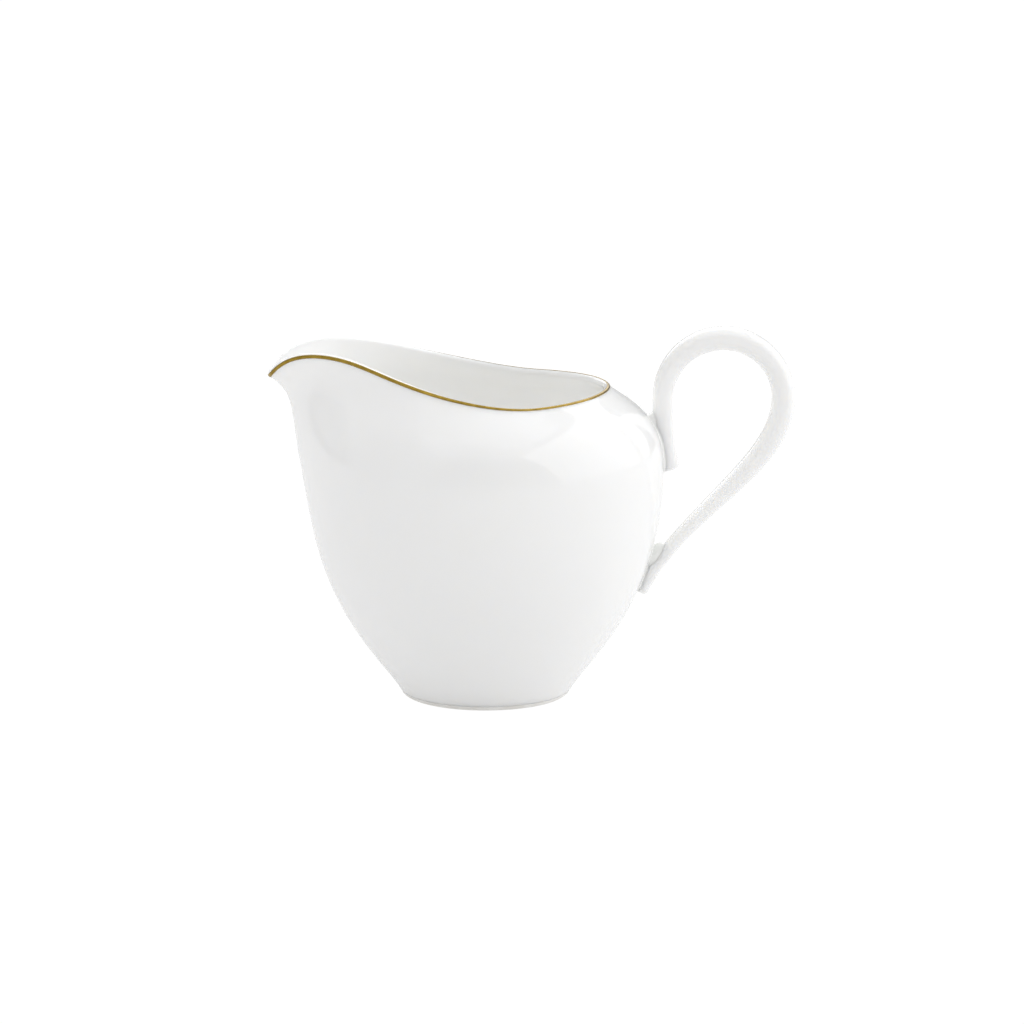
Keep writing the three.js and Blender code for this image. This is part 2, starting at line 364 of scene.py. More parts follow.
def settle(piece: bpy.types.Object, name: str) -> bpy.types.Object:
    """Names a piece and leaves its place in its mesh, with its object at the origin.

    Args:
        piece: the object.
        name: what it and its mesh are called.

    Returns:
        The same object.
    """
    only(piece)
    bpy.ops.object.transform_apply(location=True, rotation=True, scale=True)
    piece.name = name
    piece.data.name = name
    return piece


def apply_modifier(piece: bpy.types.Object, kind: str, **settings: object) -> None:
    """Adds a modifier with its settings and applies it.

    Args:
        piece: the object.
        kind: the modifier's type.
        settings: its properties.
    """
    only(piece)
    modifier = piece.modifiers.new(kind.lower(), kind)
    for key, value in settings.items():
        setattr(modifier, key, value)
    bpy.ops.object.modifier_apply(modifier=modifier.name)


def smooth(piece: bpy.types.Object, levels: int) -> None:
    """Subdivides a piece and shades it smooth.

    Args:
        piece: the object.
        levels: how many times it is subdivided, which may be 0.
    """
    if levels:
        apply_modifier(piece, "SUBSURF", levels=levels, render_levels=levels)
    only(piece)
    bpy.ops.object.shade_smooth()


def select_vertices(piece: bpy.types.Object, chosen: Iterable[int]) -> None:
    """In edit mode, leaves just these vertices selected.

    Args:
        piece: the object that is being edited.
        chosen: the vertices' numbers.
    """
    bpy.ops.mesh.select_all(action="DESELECT")
    bpy.ops.object.mode_set(mode="OBJECT")
    for index in chosen:
        piece.data.vertices[index].select = True
    bpy.ops.object.mode_set(mode="EDIT")


class Ends(Enum):
    """How the first and last rings of a stack are closed."""

    POLES = "poles"
    JOINED = "joined"


@dataclass
class RingStack:
    """A piece made from one circle, extruded ring by ring and then drawn to its stations.

    Crowding is how much closer together a ring's vertices are at the spout, from 0 to 1.
    """

    name: str
    form: JugForm
    stations: list[Station]
    ends: Ends
    around: int = 128
    crowding: float = 0.5

    def model(self) -> bpy.types.Object:
        """Makes the closed mesh.

        Returns:
            The object, at the origin.
        """
        outline = [station(AT_HANDLE)[0] for station in self.stations]
        centre = self.form.axis_x * MM
        radii = [(point[0] - self.form.axis_x) * MM for point in outline]
        heights = [point[2] * MM for point in outline]
        begin_piece()
        bpy.ops.mesh.primitive_circle_add(
            vertices=self.around, radius=radii[0], location=(centre, 0, heights[0])
        )
        piece = bpy.context.object
        bpy.ops.object.mode_set(mode="EDIT")
        bpy.ops.mesh.select_all(action="SELECT")
        for previous, radius, low, height in zip(radii, radii[1:], heights, heights[1:]):
            bpy.ops.mesh.extrude_region_move(TRANSFORM_OT_translate={"value": (0, 0, height - low)})
            grow = radius / previous
            bpy.ops.transform.resize(value=(grow, grow, 1), center_override=(centre, 0, height))
        bpy.ops.object.mode_set(mode="OBJECT")
        settle(piece, self.name)
        self.draw(piece)
        self.close(piece)
        return piece

    def draw(self, piece: bpy.types.Object) -> None:
        """Moves each ring to its station.

        Args:
            piece: the extruded circle.
        """
        vertices = piece.data.vertices
        for index, station in enumerate(self.stations):
            ring = range(index * self.around, (index + 1) * self.around)
            places = np.array([vertices[i].co for i in ring]) / MM
            turn = np.arctan2(places[:, 1], self.form.axis_x - places[:, 0])
            for i, point in zip(ring, station(turn - self.crowding * np.sin(turn))):
                vertices[i].co = Vector(point) * MM

    def close(self, piece: bpy.types.Object) -> None:
        """Closes the first and last rings and turns the faces outwards.

        Args:
            piece: the drawn rings.
        """
        only(piece)
        last = len(self.stations) - 1
        first_ring = range(self.around)
        last_ring = range(last * self.around, (last + 1) * self.around)
        bpy.ops.object.mode_set(mode="EDIT")
        bpy.ops.mesh.select_mode(type="VERT")
        if self.ends is Ends.POLES:
            for ring in (last_ring, first_ring):
                select_vertices(piece, ring)
                bpy.ops.mesh.merge(type="CENTER")
        else:
            select_vertices(piece, [*first_ring, *last_ring])
            bpy.ops.mesh.bridge_edge_loops()
        bpy.ops.mesh.select_all(action="SELECT")
        bpy.ops.mesh.normals_make_consistent(inside=False)
        bpy.ops.object.mode_set(mode="OBJECT")


# ---- Materials ----


def linear(colour: str) -> tuple[float, float, float, float]:
    """An sRGB hex colour, such as #F4F2EC, as linear values with alpha 1."""
    parts = [int(colour[i : i + 2], 16) / 255 for i in (1, 3, 5)]
    return (*[p / 12.92 if p <= 0.04045 else ((p + 0.055) / 1.055) ** 2.4 for p in parts], 1.0)


def add_node(
    material: bpy.types.Material,
    kind: str,
    settings: dict[str, object] | None = None,
    links: dict[str, bpy.types.NodeSocket] | None = None,
) -> bpy.types.Node:
    """Adds one node to a material.

    Args:
        material: the material.
        kind: the node's type name.
        settings: its properties and unlinked sockets, by name.
        links: what feeds its sockets, by name.

    Returns:
        The node.
    """
    node = material.node_tree.nodes.new(kind)
    for key, value in (settings or {}).items():
        if key in node.inputs:
            node.inputs[key].default_value = value
        else:
            setattr(node, key, value)
    for key, source in (links or {}).items():
        material.node_tree.links.new(source, node.inputs[key])
    return node


def new_material(name: str) -> bpy.types.Material:
    """Makes an empty material with nodes.

    Args:
        name: what it is called.

    Returns:
        The material.
    """
    material = bpy.data.materials.new(name)
    material.use_nodes = True
    material.node_tree.nodes.clear()
    return material


def noise(material: bpy.types.Material, size_mm: float, detail: float = 2.0) -> bpy.types.Node:
    """A noise on the piece's own coordinates whose blotches are about size_mm across."""
    where = add_node(material, "ShaderNodeTexCoord")
    return add_node(
        material,
        "ShaderNodeTexNoise",
        {"Scale": 1 / (size_mm * MM), "Detail": detail, "Roughness": 0.5},
        {"Vector": where.outputs["Object"]},
    )


def ramp(
    material: bpy.types.Material, factor: bpy.types.NodeSocket, low: str, high: str
) -> bpy.types.Node:
    """Turns a noise into a blend of two colours over its middle range.

    Args:
        material: the material.
        factor: the noise.
        low: the hex colour where it is weak.
        high: the hex colour where it is strong.

    Returns:
        The node.
    """
    node = add_node(material, "ShaderNodeValToRGB", None, {"Fac": factor})
    for element, position, colour in zip(node.color_ramp.elements, BLEND_RANGE, (low, high)):
        element.position = position
        element.color = linear(colour)
    return node


def relief(
    material: bpy.types.Material,
    height: bpy.types.Node,
    height_mm: float,
    under: bpy.types.Node | None = None,
    strength: float = 1.0,
) -> bpy.types.Node:
    """Turns a noise into a relief of the surface.

    Args:
        material: the material.
        height: the noise.
        height_mm: how high its full range stands.
        under: a relief that this one lies on.
        strength: how much of it shows.

    Returns:
        The node.
    """
    links = {"Height": height.outputs["Fac"]}
    if under:
        links["Normal"] = under.outputs["Normal"]
    settings = {"Strength": strength, "Distance": height_mm * MM}
    return add_node(material, "ShaderNodeBump", settings, links)


def finish_with(
    material: bpy.types.Material,
    settings: dict[str, object],
    links: dict[str, bpy.types.NodeSocket] | None = None,
) -> bpy.types.Material:
    """Adds the principled shader and sends it to the material's output.

    Args:
        material: the material.
        settings: the shader's unlinked sockets, by name.
        links: what feeds its other sockets, by name.

    Returns:
        The material.
    """
    shader = add_node(material, "ShaderNodeBsdfPrincipled", settings, links)
    add_node(material, "ShaderNodeOutputMaterial", None, {"Surface": shader.outputs["BSDF"]})
    return material


@dataclass(frozen=True)
class GlazedPorcelain:
    """Hard white porcelain under a clear feldspar glaze.

    The body scatters light a little below its surface, and the glaze on it is smooth glass whose
    level wanders by a few microns, so reflections bend slightly.
    """

    name: str
    body: str = "#F8F8F7"
    thick_glaze: str = "#F7F7F5"
    tint_mm: float = 22.0
    body_roughness: float = 0.45
    glaze_roughness: float = 0.045
    glaze_ior: float = 1.5
    scatter: float = 1.0
    scatter_mm: float = 3.0
    scatter_reach: tuple[float, float, float] = (1.0, 0.97, 0.92)
    wander_mm: float = 9.0
    wander_height_mm: float = 0.012
    peel_mm: float = 1.6
    peel_height_mm: float = 0.0012

    def make(self) -> bpy.types.Material:
        """Builds the finish.

        Returns:
            The material.
        """
        material = new_material(self.name)
        tint = noise(material, self.tint_mm)
        colour = ramp(material, tint.outputs["Fac"], self.thick_glaze, self.body)
        wander = noise(material, self.wander_mm, detail=1.0)
        level = relief(material, wander, self.wander_height_mm)
        peel = noise(material, self.peel_mm, detail=1.0)
        surface = relief(material, peel, self.peel_height_mm, level)
        return finish_with(
            material,
            {
                "Roughness": self.body_roughness,
                "IOR": self.glaze_ior,
                "Specular IOR Level": 0.0,
                "Subsurface Weight": self.scatter,
                "Subsurface Radius": self.scatter_reach,
                "Subsurface Scale": self.scatter_mm * MM,
                "Coat Weight": 1.0,
                "Coat Roughness": self.glaze_roughness,
                "Coat IOR": self.glaze_ior,
            },
            {
                "Base Color": colour.outputs["Color"],
                "Normal": surface.outputs["Normal"],
                "Coat Normal": surface.outputs["Normal"],
            },
        )


@dataclass(frozen=True)
class GroundBiscuit:
    """Bare fired porcelain, ground flat: matt, a touch warmer than the glaze, with a fine grit."""

    name: str = "ground_porcelain_biscuit"
    pale: str = "#F8F7F4"
    dark: str = "#F1EFEA"
    blotch_mm: float = 2.5
    grit_mm: float = 0.12
    grit_height_mm: float = 0.02
    roughness: float = 0.78

    def make(self) -> bpy.types.Material:
        """Builds the finish.

        Returns:
            The material.
        """
        material = new_material(self.name)
        blotch = noise(material, self.blotch_mm, detail=4.0)
        colour = ramp(material, blotch.outputs["Fac"], self.dark, self.pale)
        grit = noise(material, self.grit_mm, detail=3.0)
        surface = relief(material, grit, self.grit_height_mm, strength=0.8)
        return finish_with(
            material,
            {"Roughness": self.roughness},
            {"Base Color": colour.outputs["Color"], "Normal": surface.outputs["Normal"]},
        )


@dataclass(frozen=True)
class BurnishedGold:
    """Gold painted on the glaze and fired: a thin metal film, slightly uneven from the brush."""

    name: str = "burnished_gold_line"
    bright: str = "#AA8F40"
    deep: str = "#947A30"
    stroke_mm: float = 1.8
    smooth_roughness: float = 0.2
    brushed_roughness: float = 0.28
    film_height_mm: float = 0.002

    def make(self) -> bpy.types.Material:
        """Builds the finish.

        Returns:
            The material.
        """
        material = new_material(self.name)
        stroke = noise(material, self.stroke_mm, detail=3.0)
        colour = ramp(material, stroke.outputs["Fac"], self.deep, self.bright)
        rough = add_node(
            material,
            "ShaderNodeMapRange",
            {"To Min": self.smooth_roughness, "To Max": self.brushed_roughness},
            {"Value": stroke.outputs["Fac"]},
        )
        surface = relief(material, stroke, self.film_height_mm)
        return finish_with(
            material,
            {"Metallic": 1.0},
            {
                "Base Color": colour.outputs["Color"],
                "Roughness": rough.outputs["Result"],
                "Normal": surface.outputs["Normal"],
            },
        )


@dataclass(frozen=True)
class OpalAcrylic:
    """Matt opal acrylic sheet lit from behind, for the studio's table and backdrop."""

    name: str
    colour: str
    glow: float
    roughness: float = 0.9

    def make(self) -> bpy.types.Material:
        """Builds the finish.

        Returns:
            The material.
        """
        material = new_material(self.name)
        return finish_with(
            material,
            {
                "Base Color": linear(self.colour),
                "Roughness": self.roughness,
                "Emission Color": linear("#FFFFFF"),
                "Emission Strength": self.glow,
            },
        )


def dress(piece: bpy.types.Object, material: bpy.types.Material) -> None:
    """Gives a piece one material."""
    piece.data.materials.clear()
    piece.data.materials.append(material)


def place(piece: bpy.types.Object, node: str) -> None:
    """Ties a finished piece to the root body and hides the CAD node that it stands for.

    Args:
        piece: the object.
        node: the CAD node.
    """
    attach(piece, "root")
    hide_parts(node)
    LOG.info("%s: %d faces", piece.name, len(piece.data.polygons))


# ---- Sub-assemblies ----


@dataclass
class JugBody:
    """The cast body: base, foot wall, outer skin, half-round rim, inner skin and floor.

    Below the glaze line a tongue of it is sunk into the foot ring. The rings under the edge are
    given by their distances below the rim, and the floor's bend by its length in fillets.
    """

    form: JugForm
    rings_outside: int = 34
    rings_inside: int = 26
    rings_crown: int = 6
    rings_floor: int = 5
    rings_under_edge: tuple[float, ...] = (0.6, 0.3, 0.0)
    crowding: float = 0.35
    pole_radius: float = 0.6
    corner_reach: float = 1.2
    corner_turn: tuple[float, float] = (0.3, 0.2)
    corner_drop: float = 0.9
    tongue: float = 0.5
    tongue_inset: float = 0.6
    tongue_round: float = 0.3
    tongue_gap: float = 0.02
    waist_height: float = 2.2
    bend_length: float = 3.0
    floor_ring_share: float = 0.3

    def rings_of(self, steps: int) -> Array:
        """Shares of the side curve, closer together towards the rim."""
        even = span(0, 1, steps)
        return even + self.crowding * even * (1 - even)

    def base(self) -> list[tuple[float, float]]:
        """The underside, from the middle of the recess out over the sunk tongue to the foot.

        Returns:
            Points (radius, height).
        """
        form = self.form
        ceiling = form.recess_depth
        recess = form.foot_radius - form.foot_width
        turn_in, turn_down = self.corner_turn
        hidden = form.ring_height - self.tongue
        foot = form.foot_radius_at(hidden)
        return [
            (self.pole_radius, ceiling),
            (recess / 2, ceiling),
            (recess - self.corner_reach, ceiling),
            (recess - turn_in, ceiling - turn_down),
            (recess, ceiling - self.corner_drop),
            (recess + self.tongue_gap, hidden),
            (recess + self.tongue_inset, hidden - self.tongue_round),
            (foot - self.tongue_inset, hidden - self.tongue_round),
            (foot - self.tongue_gap, hidden),
            (form.foot_radius_at(self.waist_height), self.waist_height),
        ]

    def stations(self) -> list[Station]:
        """The rings from under the base, up the outside and down the inside.

        Returns:
            The stations.
        """
        form = self.form
        floor = form.recess_depth + form.base_thickness
        heights = self.rings_of(self.rings_inside)[::-1]
        walls = [form.skin(share, -form.wall_at(share)) for share in heights]
        ends = [wall(AT_HANDLE)[0] for wall in walls]
        bend_top = floor + form.floor_fillet
        kept = [(wall, end) for wall, end in zip(walls, ends) if end[2] > bend_top]
        lowest = kept[-1][1]
        radius = lowest[0] - form.axis_x
        bend = self.floor_bend(radius, lowest[2], floor)
        return [
            *[form.ring(r, z) for r, z in self.base()],
            *[form.skin(share) for share in self.rings_of(self.rings_outside)[:-1]],
            *[form.under_rim(down) for down in self.rings_under_edge],
            *[form.crown(turn) for turn in span(0, math.pi, self.rings_crown)[1:-1]],
            *[wall for wall, _ in kept],
            *[form.ring(r, z) for r, z in bend],
            form.ring(radius * self.floor_ring_share, floor),
            form.ring(self.pole_radius, floor),
        ]

    def floor_bend(self, radius: float, height: float, floor: float) -> list[tuple[float, float]]:
        """The fillet from the inner wall to the floor.

        Args:
            radius: where the wall ends.
            height: its height there.
            floor: the floor's height.

        Returns:
            Points (radius, height) from the wall inwards.
        """
        fillet = self.form.floor_fillet
        start = (radius, height)
        corner = (radius - fillet, floor)
        end = (radius - self.bend_length * fillet, floor)
        t = span(0, 1, self.rings_floor)[1:, None]
        curve = (1 - t) ** 2 * start + 2 * t * (1 - t) * corner + t * t * end
        return [tuple(point) for point in curve]

    def build(self, glaze: bpy.types.Material) -> bpy.types.Object:
        """Models, smooths and glazes the body.

        Args:
            glaze: its material.

        Returns:
            The piece.
        """
        piece = RingStack("porcelain_body", self.form, self.stations(), Ends.POLES).model()
        smooth(piece, 1)
        dress(piece, glaze)
        place(piece, "jug_body")
        return piece


@dataclass
class FootRing:
    """The ground edge that the jug stands on, bare of glaze."""

    form: JugForm
    bevel: float = 0.3

    def stations(self) -> list[Station]:
        """The rings round its section, from its inner top edge under it to its outer one.

        Returns:
            The stations.
        """
        form = self.form
        inner = form.foot_radius - form.foot_width
        edge = form.foot_edge
        low = edge * (1 - math.sqrt(0.5))
        top = form.ring_height
        shoulder = top - self.bevel
        return [
            form.ring(inner + self.bevel, top),
            form.ring(inner, shoulder),
            form.ring(inner, edge),
            form.ring(inner + low, low),
            form.ring(inner + edge, 0),
            form.ring(inner + edge + self.bevel, 0),
            form.ring(form.foot_radius - edge - self.bevel, 0),
            form.ring(form.foot_radius - edge, 0),
            form.ring(form.foot_radius - low, low),
            form.ring(form.foot_radius_at(edge), edge),
            form.ring(form.foot_radius_at(shoulder), shoulder),
            form.ring(form.foot_radius_at(top) - self.bevel, top),
        ]

    def build(self, biscuit: bpy.types.Material) -> bpy.types.Object:
        """Models and dresses the ring.

        Args:
            biscuit: its material.

        Returns:
            The piece.
        """
        piece = RingStack("ground_foot_ring", self.form, self.stations(), Ends.JOINED).model()
        smooth(piece, 1)
        dress(piece, biscuit)
        place(piece, "foot_ring")
        return piece


@dataclass
class GoldLine:
    """The gold line painted on the outer edge of the rim, a thin film barely proud of the glaze.

    It runs from a distance under the edge to an angle in degrees over the rim's half-round.
    """

    form: JugForm
    under_edge: float = 0.2
    over_edge: float = 46.0
    proud: float = 0.04
    sunk: float = 0.08
    steps: int = 4
    around: int = 256

    def stations(self) -> list[Station]:
        """The rings over the film and back under it.

        Returns:
            The stations.
        """
        form = self.form
        turns = span(0, math.radians(self.over_edge), self.steps)
        above = [form.crown(turn, self.proud) for turn in turns]
        below = [form.crown(turn, -self.sunk) for turn in turns[::-1]]
        start, back = (form.under_rim(self.under_edge, out) for out in (self.proud, -self.sunk))
        return [start, *above, *below, back]

    def build(self, gold: bpy.types.Material) -> bpy.types.Object:
        """Models and gilds the line.

        Args:
            gold: its material.

        Returns:
            The piece.
        """
        stations = self.stations()
        piece = RingStack("gold_line", self.form, stations, Ends.JOINED, self.around).model()
        smooth(piece, 0)
        dress(piece, gold)
        place(piece, "gold_rim_line")
        return piece


@dataclass
class LoopHandle:
    """The handle strand: from a blunt end on the shoulder, over the loop and down the flank.

    A lean is in degrees from the vertical. A pull is what the length of a stretch is divided by
    for the length of its curve's handles. The swell and the shrink of the thickness start at a
    share of the strand's length and run over another one. Each step of a blunt end's rounding is
    a distance back from the end and a share of the section there.
    """

    form: JugForm
    loop_radius: float = 14.1
    loop_drop: float = 2.9
    strand_inset: float = 0.45
    upper_end_drop: float = 19.9
    upper_end_stand: float = 1.5
    upper_end_lean: float = 18.0
    lower_end_height: float = 24.2
    lower_end_stand: float = 0.9
    lower_end_lean: float = 27.0
    slant_height: float = 46.3
    slant_stand: float = 12.3
    slant_lean: float = 45.0
    strand_thickness: float = 4.6
    loop_thickness: float = 5.5
    tail_thickness: float = 3.2
    width_share: float = 1.24
    squareness: float = 2.5
    end_pull: float = 3.0
    fall_pull: float = 2.5
    swell_start: float = 0.05
    swell_length: float = 0.3
    shrink_start: float = 0.55
    shrink_length: float = 0.37
    rounding: tuple[tuple[float, float], ...] = (
        (0.0, 0.45),
        (0.05, 0.66),
        (0.25, 0.84),
        (0.6, 0.95),
        (1.1, 1.0),
    )
    cap_inset: float = 0.3
    look_ahead: float = 1e-3
    arc_steps: int = 1200
    curve_steps: int = 900
    steps: int = 110
    sides: int = 32

    def upper_end_height(self) -> float:
        """Height of the blunt end on the shoulder."""
        return self.form.rim_height - self.upper_end_drop

    def centre_line(self) -> EvenCurve:
        """The centre line in its own plane, as points (distance from the axis, height).

        Returns:
            The curve.
        """
        form = self.form
        loop_out = form.belly_radius - self.strand_inset + self.loop_radius
        loop = np.array([loop_out, form.rim_height - self.loop_drop])
        slant = np.array([form.belly_radius + self.slant_stand, self.slant_height])
        upper = self.upper_end_height()
        start = np.array([form.radius_at(upper) + self.upper_end_stand, upper])
        low = self.lower_end_height
        end = np.array([form.radius_at(low) + self.lower_end_stand, low])
        strand = (loop[1] - start[1]) / self.end_pull
        fall = (loop[1] - slant[1]) / self.fall_pull
        tail = float(np.hypot(*(start - end))) / self.end_pull
        left = loop - (self.loop_radius, 0)
        right = loop + (self.loop_radius, 0)
        turn = span(math.pi, 0, self.arc_steps)
        arc = loop + self.loop_radius * np.stack([np.cos(turn), np.sin(turn)], axis=1)
        return EvenCurve(
            cubic(
                start,
                toward(start, -self.upper_end_lean, strand),
                left - (0, strand),
                left,
                self.curve_steps,
            ),
            arc,
            cubic(
                right,
                right - (0, fall),
                toward(slant, self.slant_lean, fall),
                slant,
                self.curve_steps,
            ),
            cubic(
                slant,
                toward(slant, self.slant_lean + 180, tail),
                toward(end, self.lower_end_lean, tail),
                end,
                self.curve_steps,
            ),
        )

    def thickness_at(self, share: float) -> float:
        """The strand's thickness in the plane of the loop.

        Args:
            share: of the strand's length.

        Returns:
            The thickness there.
        """
        swell = float(smoothstep((share - self.swell_start) / self.swell_length))
        shrink = float(smoothstep((share - self.shrink_start) / self.shrink_length))
        full = self.strand_thickness + (self.loop_thickness - self.strand_thickness) * swell
        return full + (self.tail_thickness - full) * shrink

    def shape_section(self, piece: bpy.types.Object, thickness: float) -> None:
        """Squares the first circle up into the strand's rounded oblong section.

        Args:
            piece: the circle, whose middle is its origin.
            thickness: the section's size in the plane of the loop, in metres.
        """
        power = 2 / self.squareness
        for vertex in piece.data.vertices:
            angle = math.atan2(vertex.co.y, vertex.co.x)
            across = math.copysign(abs(math.sin(angle)) ** power, math.sin(angle))
            outward = math.copysign(abs(math.cos(angle)) ** power, math.cos(angle))
            vertex.co = (outward * thickness / 2, across * thickness * self.width_share / 2, 0)

    def frames(self) -> list[tuple[Vector, float, float]]:
        """Works out where each ring of the strand stands.

        Returns:
            For each ring its centre in metres, its heading in radians and its thickness.
        """
        line = self.centre_line()
        inner = self.rounding[-1][0]
        between = span(inner, line.length - inner, self.steps)[1:-1]
        stops = [*self.rounding, *[(float(distance), 1.0) for distance in between]]
        stops += [(line.length - back, kept) for back, kept in self.rounding[::-1]]
        frames = []
        for distance, kept in stops:
            share = distance / line.length
            x, z = line.at(share)
            ahead_x, ahead_z = line.at(share + self.look_ahead)
            behind_x, behind_z = line.at(share - self.look_ahead)
            heading = math.atan2(float(ahead_x - behind_x), float(ahead_z - behind_z))
            centre = Vector((self.form.axis_x + float(x), 0, float(z))) * MM
            frames.append((centre, heading, self.thickness_at(share) * kept))
        return frames

    def model(self, name: str) -> bpy.types.Object:
        """Extrudes the section along the centre line.

        Args:
            name: the piece's name.

        Returns:
            The closed mesh.
        """
        frames = self.frames()
        centre, heading, thickness = frames[0]
        begin_piece()
        bpy.ops.mesh.primitive_circle_add(vertices=self.sides, radius=MM)
        piece = bpy.context.object
        self.shape_section(piece, thickness * MM)
        piece.rotation_euler = (0, heading, 0)
        piece.location = centre
        settle(piece, name)
        bpy.ops.object.mode_set(mode="EDIT")
        bpy.ops.mesh.select_all(action="SELECT")
        for (was, turned, thick), (now, turn, thin) in zip(frames, frames[1:]):
            bpy.ops.mesh.extrude_region_move(TRANSFORM_OT_translate={"value": now - was})
            bpy.ops.transform.rotate(
                value=-(turn - turned), orient_axis="Y", orient_type="GLOBAL", center_override=now
            )
            bpy.ops.transform.resize(value=(thin / thick,) * 3, center_override=now)
        bpy.ops.mesh.select_mode(type="VERT")
        last = len(frames) - 1
        for ring in (last, 0):
            select_vertices(piece, range(ring * self.sides, (ring + 1) * self.sides))
            bpy.ops.mesh.edge_face_add()
            bpy.ops.mesh.inset(thickness=self.cap_inset * MM)
            bpy.ops.mesh.merge(type="CENTER")
        bpy.ops.mesh.select_all(action="SELECT")
        bpy.ops.mesh.normals_make_consistent(inside=False)
        bpy.ops.object.mode_set(mode="OBJECT")
        return piece

    def build(self, glaze: bpy.types.Material) -> bpy.types.Object:
        """Models and glazes the handle.

        Args:
            glaze: its material.

        Returns:
            The piece.
        """
        piece = self.model("loop_handle")
        smooth(piece, 1)
        dress(piece, glaze)
        place(piece, "handle")
        return piece


class JointEnd(Enum):
    """The two places where the handle is stuck on, by the CAD node of the slip there."""

    UPPER = "upper_handle_slip"
    LOWER = "lower_handle_slip"

    def piece_name(self) -> str:
        """What the piece that stands for the node is called."""
        return self.value.replace("handle_slip", "slip_fillet")


@dataclass(frozen=True)
class Gob:
    """A gob of slip that fills the fork between the wall and the strand.

    It is a long egg whose middle stands out from the jug's axis by one distance and up by
    another, leaning outwards in degrees.
    """

    out: float
    up: float
    half_length: float
    half_gap: float
    half_width: float
    lean: float


GOBS = {
    JointEnd.UPPER: Gob(
        out=39.2, up=64.9, half_length=2.3, half_gap=1.3, half_width=2.2, lean=-12.0
    ),
    JointEnd.LOWER: Gob(
        out=39.9, up=33.3, half_length=3.2, half_gap=1.5, half_width=1.8, lean=31.0
    ),
}


@dataclass
class SlipJoint:
    """The slip squeezed out where the handle meets the body, smoothed into a small fillet.

    The body's wall, the handle's end and a gob of slip in the fork are copied, melted together on
    a fine grid and smoothed, which fills the groove between them and draws back everything else
    just below the surface.
    """

    end: JointEnd
    form: JugForm
    margin: float = 4.5
    grid: float = 0.22
    melting: int = 24
    draw_back: float = 0.03

    def block(self) -> tuple[Vector, Vector]:
        """Finds the stretch that the slip covers.

        Returns:
            Its lowest and its highest corner.
        """
        low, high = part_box(self.end.value)
        room = Vector((self.margin, self.margin, self.margin)) * MM
        return low - room, high + room

    def gob(self) -> bpy.types.Object:
        """Lays the gob of slip in the fork.

        Returns:
            The egg.
        """
        gob = GOBS[self.end]
        begin_piece()
        bpy.ops.mesh.primitive_uv_sphere_add(
            segments=32,
            ring_count=20,
            radius=MM,
            location=Vector((self.form.axis_x + gob.out, 0, gob.up)) * MM,
            rotation=(0, math.radians(gob.lean), 0),
            scale=(gob.half_gap, gob.half_width, gob.half_length),
        )
        return settle(bpy.context.object, "gob")

    def cut_to_block(self, piece: bpy.types.Object) -> None:
        """Cuts a piece down to the block, leaving each cut closed.

        Args:
            piece: the object.
        """
        low, high = self.block()
        only(piece)
        bpy.ops.object.mode_set(mode="EDIT")
        for axis in range(3):
            for corner, sign in ((low, -1), (high, 1)):
                normal = [0.0, 0.0, 0.0]
                normal[axis] = sign
                bpy.ops.mesh.select_all(action="SELECT")
                bpy.ops.mesh.bisect(
                    plane_co=corner,
                    plane_no=normal,
                    use_fill=True,
                    clear_outer=True,
                    threshold=1e-7,
                )
        bpy.ops.object.mode_set(mode="OBJECT")

    def copy_of(self, source: bpy.types.Object) -> bpy.types.Object:
        """Copies a finished piece with a mesh of its own, tied to nothing.

        Args:
            source: the finished piece.

        Returns:
            The copy.
        """
        copy = source.copy()
        copy.data = source.data.copy()
        copy.parent = None
        for key in [k for k in copy.keys() if k.startswith("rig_")]:
            del copy[key]
        bpy.context.scene.collection.objects.link(copy)
        return copy

    def build(
        self, body: bpy.types.Object, strand: bpy.types.Object, glaze: bpy.types.Material
    ) -> bpy.types.Object:
        """Models and glazes the fillet.

        Args:
            body: the finished body.
            strand: the finished handle.
            glaze: its material.

        Returns:
            The piece.
        """
        wall, end, gob = self.copy_of(body), self.copy_of(strand), self.gob()
        for part in (wall, end):
            self.cut_to_block(part)
        only(wall)
        end.select_set(True)
        gob.select_set(True)
        bpy.ops.object.join()
        piece = bpy.context.object
        apply_modifier(piece, "REMESH", mode="VOXEL", voxel_size=self.grid * MM)
        apply_modifier(piece, "SMOOTH", factor=0.5, iterations=self.melting)
        apply_modifier(piece, "DISPLACE", strength=-self.draw_back * MM, mid_level=0.0)
        settle(piece, self.end.piece_name())
        smooth(piece, 0)
        dress(piece, glaze)
        place(piece, self.end.value)
        return piece


# ---- Studio ----


@dataclass(frozen=True)
class Softbox:
    """A soft rectangular light, placed round the jug and turned towards it.

    The azimuth is counted from the camera's side towards the handle, and the spreads are the
    angles that the box fills as the jug sees it, all in degrees.
    """

    name: str
    azimuth: float
    elevation: float
    spread: float
    spread_up: float
    watts: float
    distance: float = 2.5

    def build(self, target: Vector) -> None:
        """Hangs the light.

        Args:
            target: the point that it faces.
        """
        begin_piece()
        bpy.ops.object.light_add(type="AREA")
        lamp = bpy.context.object
        lamp.name = self.name
        lamp.visible_camera = False
        lamp.data.shape = "RECTANGLE"
        lamp.data.size = 2 * self.distance * math.tan(math.radians(self.spread / 2))
        lamp.data.size_y = 2 * self.distance * math.tan(math.radians(self.spread_up / 2))
        lamp.data.energy = self.watts
        turn, lift = math.radians(self.azimuth), math.radians(self.elevation)
        back = Vector(
            (math.sin(turn) * math.cos(lift), -math.cos(turn) * math.cos(lift), math.sin(lift))
        )
        lamp.location = target + back * self.distance
        lamp.rotation_euler = (-back).to_track_quat("-Z", "Y").to_euler()


